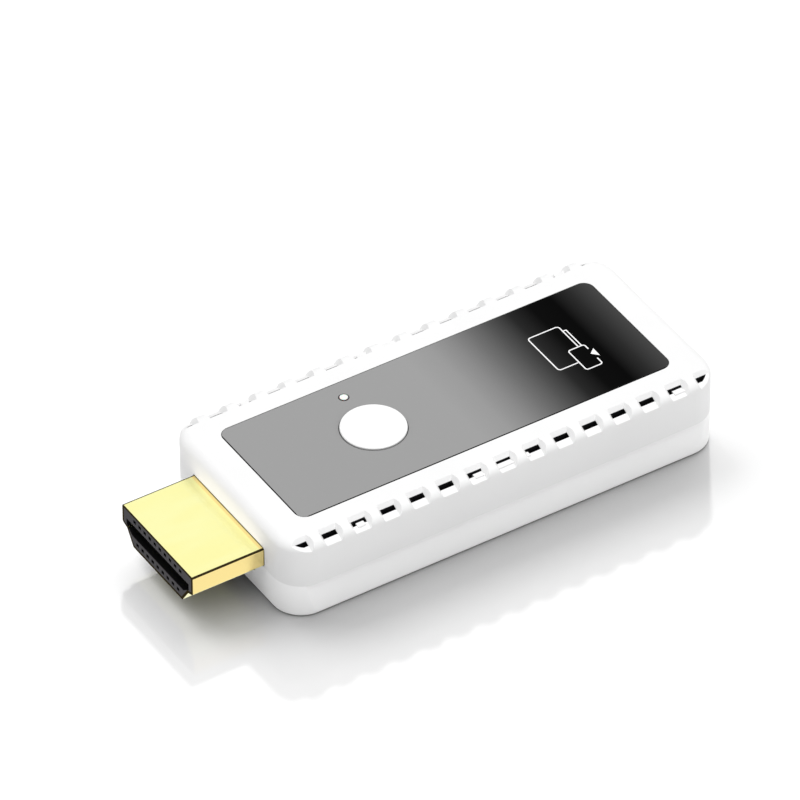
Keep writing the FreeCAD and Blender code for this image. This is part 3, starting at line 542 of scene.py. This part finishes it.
# %% Boards
def board_finish(name, lacquer, track, track_pitch):
    """Green lacquer with lighter tracks, drawn by the joints of a brick pattern."""
    finish = start_finish(name, lacquer, 0.3)
    tracks = add_node(finish, "ShaderNodeTexBrick")
    tracks.inputs["Color1"].default_value = lacquer
    tracks.inputs["Color2"].default_value = lacquer
    tracks.inputs["Mortar"].default_value = track
    tracks.inputs["Scale"].default_value = 1 / track_pitch
    tracks.inputs["Mortar Size"].default_value = 0.06
    tracks.inputs["Brick Width"].default_value = 3.0
    tracks.inputs["Row Height"].default_value = 0.5
    join(finish, millimetres(finish), tracks.inputs["Vector"])
    join(finish, tracks.outputs["Color"], surface_of(finish).inputs["Base Color"])
    uneven_gloss(finish, 1.0, 0.24, 0.38)
    grain(finish, 0.25, 0.004, 0.4)
    return finish


board_green = board_finish("board_green", paint(22, 84, 48), paint(52, 128, 78), 1.6)
wear(board_green, "main_board")
radio_green = board_finish("radio_green", paint(18, 66, 60), paint(44, 108, 96), 0.9)
wear(radio_green, "radio_board")

# %% [markdown]
# ## Chips and small parts
# Chip packages are black resin filled with glass powder, which makes a dull, slightly speckled
# face. The ceramic parts are tan, the inductors are pressed iron powder, the soft pad is grey
# silicone, and the antenna is copper under an amber film. Each gets its own colour drift and
# relief at the size of its real grain.

# %% Resin, ceramic and powder
chip_black = start_finish("chip_black", paint(42, 42, 44), 0.55)
mottle(chip_black, 0.12, paint(36, 36, 38), paint(52, 52, 54))
grain(chip_black, 0.08, 0.004, 0.6)
wear(chip_black, "processor_chip", "memory_chip", "flash_chip", "regulators", "guard_chips",
     "switch_base", "switch_plunger")

ceramic_tan = start_finish("ceramic_tan", paint(176, 148, 112), 0.4)
mottle(ceramic_tan, 0.2, paint(166, 138, 102), paint(188, 160, 124))
grain(ceramic_tan, 0.1, 0.003, 0.5)
wear(ceramic_tan, "capacitors")

ferrite_grey = start_finish("ferrite_grey", paint(84, 84, 86), 0.65)
mottle(ferrite_grey, 0.15, paint(72, 72, 74), paint(98, 98, 100))
grain(ferrite_grey, 0.12, 0.012, 0.7)
wear(ferrite_grey, "inductors")

pad_grey = start_finish("pad_grey", paint(150, 152, 158), 0.8)
mottle(pad_grey, 0.5, paint(142, 144, 150), paint(160, 162, 168))
grain(pad_grey, 0.4, 0.02, 0.6)
wear(pad_grey, "thermal_pad")

# %% Film, lead and lamp
film_amber = start_finish("film_amber", paint(184, 112, 44), 0.3)
mottle(film_amber, 1.4, paint(172, 100, 36), paint(198, 126, 56), (1, 0.3, 1))
grain(film_amber, 0.3, 0.004, 0.3)
wear(film_amber, "antenna_film")

lead_grey = start_finish("lead_grey", paint(96, 98, 102), 0.5)
mottle(lead_grey, 0.6, paint(90, 92, 96), paint(104, 106, 110))
grain(lead_grey, 0.12, 0.004, 0.4)
wear(lead_grey, "antenna_lead")

lamp_yellow = start_finish("lamp_yellow", paint(236, 216, 120), 0.3)
mottle(lamp_yellow, 0.3, paint(230, 208, 108), paint(242, 224, 136))
grain(lamp_yellow, 0.1, 0.003, 0.3)
wear(lamp_yellow, "indicator_led")

# %% [markdown]
# ## The drawing on the plate
# A thin white line drawing sits at the black end of the plate: a screen on its foot, a phone in
# front of one corner, and an arrow at the phone's edge. It tells the user what the stick does and
# is no maker's sign. The print is a real, very thin layer that stands 0.02 mm above the plate.
# The screen and the phone each start as one flat rectangle: its corners are rounded with a vertex
# bevel, an inset leaves a frame as wide as the pen, the middle is deleted, what lies behind another
# drawing is cut away, and the rest is pulled up. The foot is a thin angle and the arrow a triangle.

# %% Print finish
print_white = start_finish("print_white", paint(246, 246, 246), 0.35)
mottle(print_white, 0.3, paint(242, 242, 242), paint(250, 250, 250))
grain(print_white, 0.08, 0.002, 0.3)

PEN = 0.14
PRINT_BASE = PLATE_TOP - 0.01
PRINT_TOP = PLATE_TOP + 0.02
CORNER_SEGMENTS = 8
SAME_PLACE = 1e-7
print("pen", PEN, "mm, layer to", PRINT_TOP, "mm")


# %% Flat shapes
def flat_shape(*corners):
    """A bmesh with one face through the corners, in millimetres on the plate."""
    shape = bmesh.new()
    shape.faces.new([shape.verts.new((x * MM, y * MM, PRINT_BASE * MM)) for x, y in corners])
    return shape


def flat_rectangle(x0, x1, y0, y1):
    return flat_shape((x0, y0), (x1, y0), (x1, y1), (x0, y1))


def round_corners(shape, radius, corners=None):
    """Rounds the chosen corners, or all of them."""
    bmesh.ops.bevel(
        shape, geom=corners or shape.verts[:], offset=radius * MM, affect="VERTICES",
        segments=CORNER_SEGMENTS, profile=0.5, material=-1)


def keep_frame(shape, width):
    """Leaves only a band along the outline."""
    middle = shape.faces[:]
    bmesh.ops.inset_region(
        shape, faces=middle, thickness=width * MM, use_even_offset=True, use_boundary=True)
    bmesh.ops.delete(shape, geom=middle, context="FACES")


def cut_out(shape, x0, y0, y1):
    """Removes what lies past x0 and between y0 and y1, where another drawing is in front."""
    for point, normal in (((x0, 0), (1, 0, 0)), ((0, y0), (0, 1, 0)), ((0, y1), (0, 1, 0))):
        everything = shape.verts[:] + shape.edges[:] + shape.faces[:]
        bmesh.ops.bisect_plane(
            shape, geom=everything, dist=SAME_PLACE,
            plane_co=(point[0] * MM, point[1] * MM, 0), plane_no=normal)
    hidden = []
    for face in shape.faces:
        centre = face.calc_center_median()
        if centre.x > x0 * MM and y0 * MM < centre.y < y1 * MM:
            hidden.append(face)
    bmesh.ops.delete(shape, geom=hidden, context="FACES")


def print_layer(shape, name):
    """Pulls the flat shape up into a thin layer and makes it a piece on the casing."""
    pulled = bmesh.ops.extrude_face_region(shape, geom=shape.faces[:])
    lifted = [item for item in pulled["geom"] if isinstance(item, bmesh.types.BMVert)]
    bmesh.ops.translate(shape, verts=lifted, vec=(0, 0, (PRINT_TOP - PRINT_BASE) * MM))
    bmesh.ops.recalc_face_normals(shape, faces=shape.faces[:])
    mesh = bpy.data.meshes.new(name)
    shape.to_mesh(mesh)
    shape.free()
    mesh.materials.append(print_white)
    piece = bpy.data.objects.new(name, mesh)
    scene.collection.objects.link(piece)
    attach(piece, "housing")
    print(name, "has", len(mesh.polygons), "faces")


# %% Screen and phone
SCREEN_X = (16.56, 20.53)
SCREEN_Y = (-2.7, 3.5)
SCREEN_CORNER = 0.42
PHONE_X = (19.07, 21.23)
PHONE_Y = (-4.15, -0.42)
PHONE_CORNER = 0.36
GAP_Y = (-3.03, -1.32)
CLEAR = 0.04

screen = flat_rectangle(*SCREEN_X, *SCREEN_Y)
round_corners(screen, SCREEN_CORNER)
keep_frame(screen, PEN)
cut_out(screen, PHONE_X[0] - CLEAR, SCREEN_Y[0], PHONE_Y[1] + CLEAR)
print_layer(screen, "screen_outline")

phone = flat_rectangle(*PHONE_X, *PHONE_Y)
round_corners(phone, PHONE_CORNER)
keep_frame(phone, PEN)
cut_out(phone, sum(PHONE_X) / 2, *GAP_Y)
print_layer(phone, "phone_outline")

# %% Foot and arrow
FOOT_X = 20.93
FOOT_Y = 2.57
FOOT_CORNER = 0.1
foot = flat_shape(
    (SCREEN_X[1], FOOT_Y), (SCREEN_X[1], FOOT_Y - PEN), (FOOT_X - PEN, FOOT_Y - PEN),
    (FOOT_X - PEN, PHONE_Y[1]), (FOOT_X, PHONE_Y[1]), (FOOT_X, FOOT_Y))
outer_corner = foot.verts[:][-1]
round_corners(foot, FOOT_CORNER, [outer_corner])
print_layer(foot, "screen_foot")

ARROW_TIP = (20.93, -2.1)
ARROW_BASE = ((21.62, -2.84), (21.64, -1.52))
arrow = flat_shape(ARROW_TIP, *ARROW_BASE)
print_layer(arrow, "phone_arrow")

# %% [markdown]
# ## The table
# The stick lies on a white, faintly glossy table. Nearly all of what the table shows is its own
# white with the stick's shadow on it, and a small share is a mirror image. Two shaders mixed by
# that share do this. Where the stick stands close above the table, hardly any light gets in, so
# an Ambient Occlusion node, which tells how open a point lies, darkens the white there. The table
# lies a hair below the stick, so the two surfaces never share one plane. The plug's side is as
# bright in the photograph as if no shadow lay in front of it, so a polished face looks through
# the table at the white room, and only the lens and the dull surfaces see the shadow.

# %% Table
TABLE_RADIUS = 6
TABLE_DROP = 0.02
table_shape = bmesh.new()
bmesh.ops.create_circle(table_shape, cap_ends=True, segments=96, radius=TABLE_RADIUS)
bmesh.ops.translate(table_shape, verts=table_shape.verts[:], vec=(0, 0, -TABLE_DROP * MM))
table_mesh = bpy.data.meshes.new("table")
table_shape.to_mesh(table_mesh)
table_shape.free()
table = bpy.data.objects.new("table", table_mesh)
scene.collection.objects.link(table)
print("table", round(table.dimensions.x, 1), "m across")

# %% Table finish
MIRROR_SHARE = 0.05
MIRROR_ROUGHNESS = 0.06
OPEN_REACH = 10
CONTACT_TONES = ((0, 10), (0.12, 140), (0.6, 250))

table_white = bpy.data.materials.new("table_white")
table_white.use_nodes = True
table_white.node_tree.nodes.remove(surface_of(table_white))
openness = add_node(table_white, "ShaderNodeAmbientOcclusion", samples=16)
openness.inputs["Distance"].default_value = OPEN_REACH * MM
contact = grey_ramp(table_white, CONTACT_TONES)
own_white = add_node(table_white, "ShaderNodeBsdfDiffuse")
join(table_white, openness.outputs["AO"], contact.inputs["Fac"])
join(table_white, contact.outputs["Color"], own_white.inputs["Color"])
mirror = add_node(table_white, "ShaderNodeBsdfAnisotropic")
mirror.inputs["Color"].default_value = (1, 1, 1, 1)
mirror.inputs["Roughness"].default_value = MIRROR_ROUGHNESS
mixed = add_node(table_white, "ShaderNodeMixShader")
mixed.inputs["Fac"].default_value = MIRROR_SHARE
join(table_white, own_white.outputs["BSDF"], mixed.inputs[1])
join(table_white, mirror.outputs["BSDF"], mixed.inputs[2])
table_mesh.materials.append(table_white)
print("mirror share", MIRROR_SHARE)

# %% The table in a reflection
ray = add_node(table_white, "ShaderNodeLightPath")
clean = ask(table_white, "LESS_THAN", ray.outputs["Diffuse Depth"], value=0.5)
reflected = ask(table_white, "MULTIPLY", ray.outputs["Is Glossy Ray"], clean)
passing = add_node(table_white, "ShaderNodeBsdfTransparent")
shown = add_node(table_white, "ShaderNodeMixShader")
join(table_white, reflected, shown.inputs["Fac"])
join(table_white, mixed.outputs["Shader"], shown.inputs[1])
join(table_white, passing.outputs["BSDF"], shown.inputs[2])
table_output = table_white.node_tree.nodes["Material Output"]
join(table_white, shown.outputs["Shader"], table_output.inputs["Surface"])
print("polished faces see the white room in place of the table")

# %% [markdown]
# ## Room and lamps
# The room is white wherever the lens, a polished face or something clear looks at it, and sends
# about a third of that light onto the pieces. A Light Path node tells these cases apart: its
# Diffuse Depth is 0 until a ray has left a dull surface, so only a clean look sees the full white.
# A world has a node tree as a material has, so the helpers for the finishes serve here too.
# Wide, soft lamps do the rest, and light linking tells each of them what it lights. Three light
# the stick: one from straight above makes its top the brightest face, and two weak ones from the
# left and the right leave the corner between them a little darker, as in the photograph. Three
# light the table from behind, so that the shadow falls towards the lens. Two of those are wide
# and make its slow fade, and the third is narrow and low and draws the shadow's clear outline.
# Polished gold throws light onto the white wall that it comes out of. A small warm panel that
# lies on the plug, unseen by the lens, stands in for that light.

# %% Room
ROOM_LIGHT = 0.32
room = bpy.data.worlds.new("white_room")
scene.world = room
room.use_nodes = True
ray = add_node(room, "ShaderNodeLightPath")
looked_at = ask(room, "MAXIMUM", ray.outputs["Is Camera Ray"], ray.outputs["Is Glossy Ray"])
looked_at = ask(room, "MAXIMUM", looked_at, ray.outputs["Is Transmission Ray"])
clean = ask(room, "LESS_THAN", ray.outputs["Diffuse Depth"], value=0.5)
looked_at = ask(room, "MULTIPLY", looked_at, clean)
extra = ask(room, "MULTIPLY", looked_at, value=1 - ROOM_LIGHT)
strength = ask(room, "ADD", extra, value=ROOM_LIGHT)
emit = room.node_tree.nodes["Background"]
emit.inputs["Color"].default_value = (1, 1, 1, 1)
join(room, strength, emit.inputs["Strength"])
print("room light", ROOM_LIGHT)


# %% Lamps
def soft_lamp(name, energy, spread, azimuth, elevation):
    """A distant lamp as wide as spread, at two angles as the camera's."""
    lamp = bpy.data.lights.new(name, "SUN")
    lamp.energy = energy
    lamp.angle = math.radians(spread)
    stand = bpy.data.objects.new(name, lamp)
    scene.collection.objects.link(stand)
    stand.rotation_euler = (math.radians(90 - elevation), 0, math.radians(azimuth))
    stand.visible_glossy = False
    print(name, "energy", energy, "spread", spread, "degrees")
    return stand


def lights_table(lamp_stand, state):
    """Whether the lamp lights only the table, or everything but the table."""
    chosen = bpy.data.collections.new(lamp_stand.name + "_linking")
    chosen.objects.link(table)
    chosen.collection_objects[0].light_linking.link_state = state
    lamp_stand.light_linking.receiver_collection = chosen


# %% Six lamps
for state, name, energy, spread, azimuth, elevation in (
    ("EXCLUDE", "stick_top", 2.2, 50, -32.5, 88),
    ("EXCLUDE", "stick_right", 0.69, 40, 30, 30),
    ("EXCLUDE", "stick_left", 0.4, 40, -100, 30),
    ("INCLUDE", "table_wide", 1.32, 50, 147.5, 57),
    ("INCLUDE", "table_side", 1.16, 40, 200, 45),
    ("INCLUDE", "table_narrow", 1.11, 3, 147.5, 35),
):
    lights_table(soft_lamp(name, energy, spread, azimuth, elevation), state)

# %% Glow of the plug
GLOW_SIZE = (6 * MM, 13 * MM)
GLOW_PLACE = (-25.5 * MM, 0, 6.7 * MM)
GLOW_WATTS = 0.00039
panel = bpy.data.lights.new("plug_glow", "AREA")
panel.shape = "RECTANGLE"
panel.size, panel.size_y = GLOW_SIZE
panel.energy = GLOW_WATTS
panel.color = (1.0, 0.96, 0.82)
glow = bpy.data.objects.new("plug_glow", panel)
scene.collection.objects.link(glow)
glow.location = GLOW_PLACE
glow.rotation_euler = (math.pi, 0, 0)
glow.visible_camera = False
glow.visible_glossy = False
lights_table(glow, "EXCLUDE")
print("glow over the plug", GLOW_WATTS, "W")
